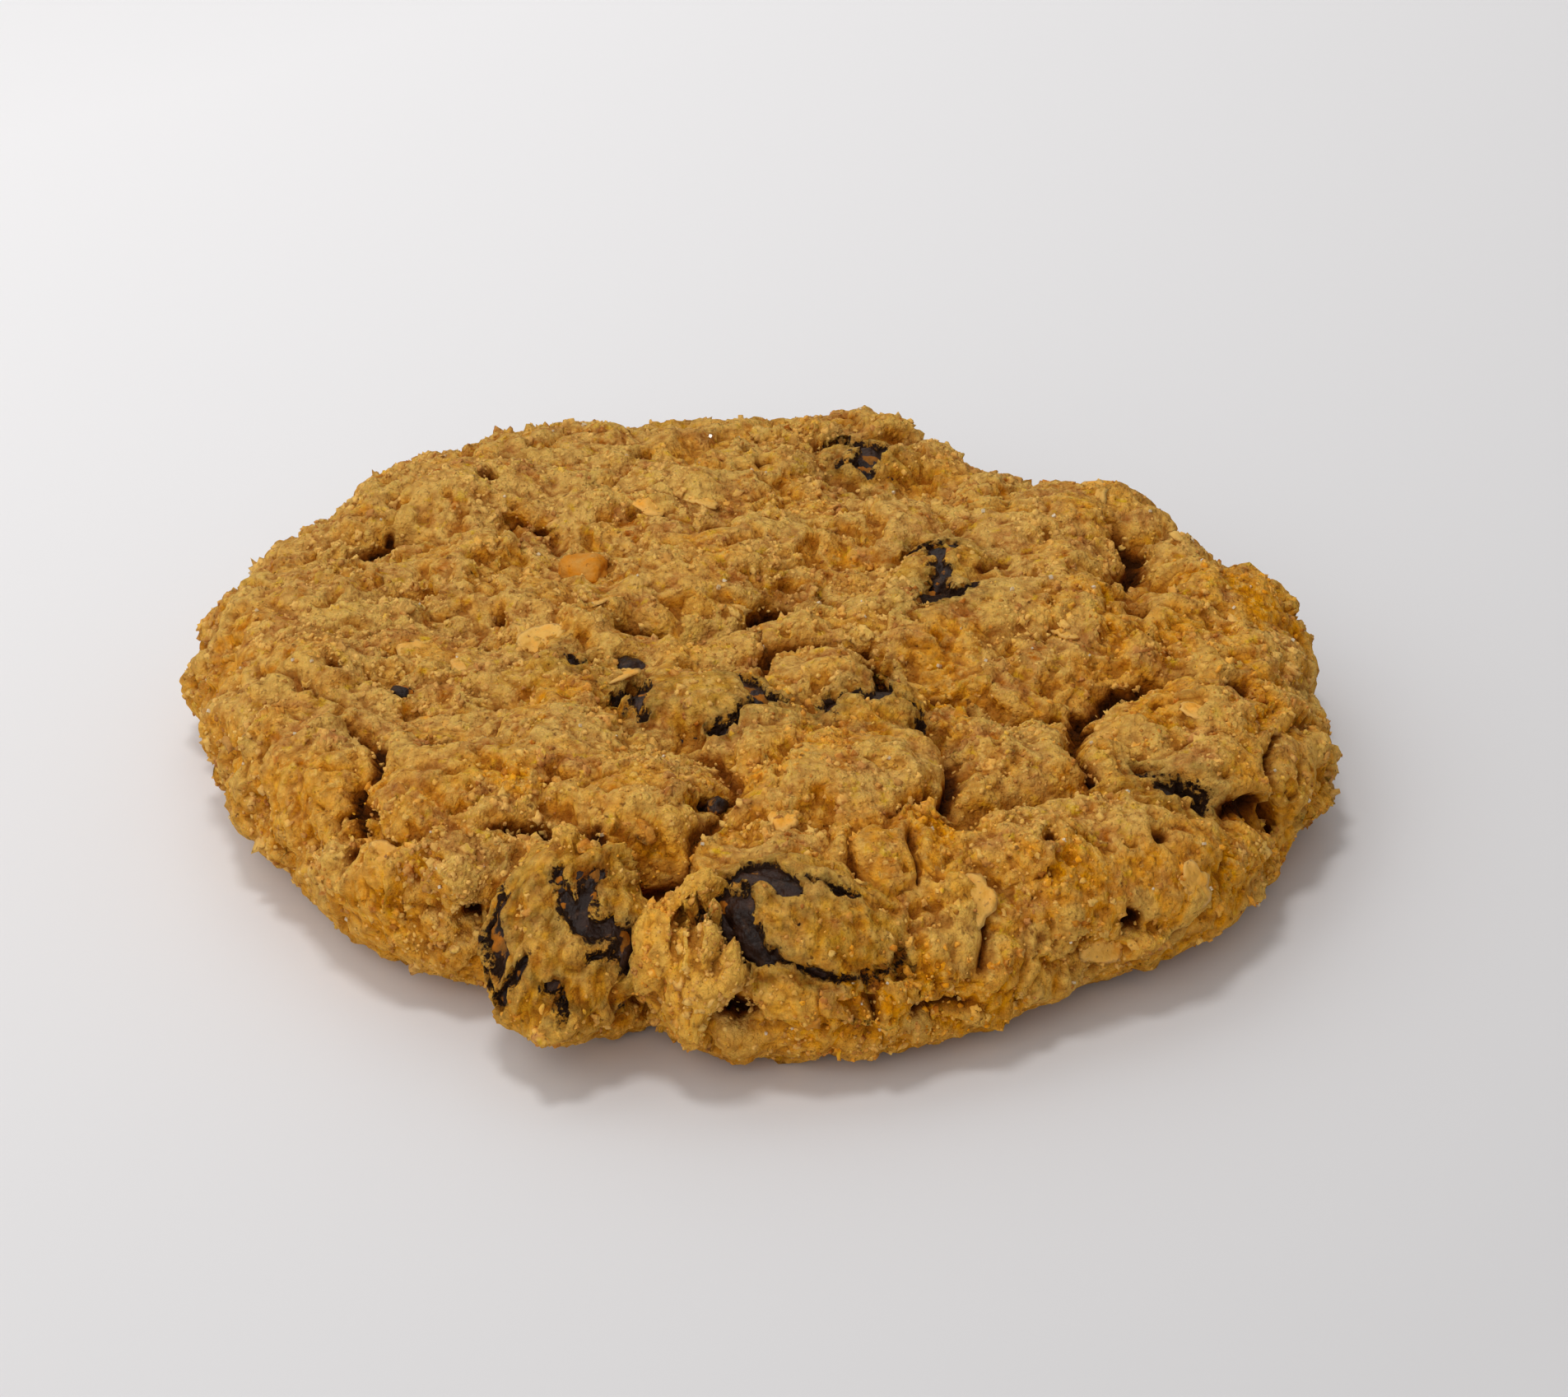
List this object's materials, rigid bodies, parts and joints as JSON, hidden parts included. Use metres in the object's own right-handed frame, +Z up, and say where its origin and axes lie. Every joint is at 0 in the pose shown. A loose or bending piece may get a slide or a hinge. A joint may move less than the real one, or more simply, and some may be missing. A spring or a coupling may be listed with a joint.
{
  "type": "oatmeal raisin cookie",
  "caption": "Thick round home-style oatmeal cookie with an uneven lumpy top, a folded notched rim and dark raisins set in its top and edge",
  "frame": {"origin": "middle of the flat face that the cookie rests on", "axes": "+Z up through the thickness; -Y towards the side whose rim holds the two largest raisins"},
  "size_m": [0.0803, 0.0789, 0.0144],
  "materials": {
    "baked_dough": "matte, crumbly, golden brown",
    "raisin_skin": "dark, wrinkled, slightly glossy"
  },
  "bodies": {
    "root": {"dough": "baked_dough", "raisin_front": "raisin_skin", "raisin_front_left": "raisin_skin", "raisin_middle": "raisin_skin", "raisin_middle_right": "raisin_skin", "raisin_upper_right": "raisin_skin", "raisin_back": "raisin_skin", "raisin_right": "raisin_skin", "raisin_left": "raisin_skin", "raisin_rim_back": "raisin_skin"}
  },
  "joints": []
}
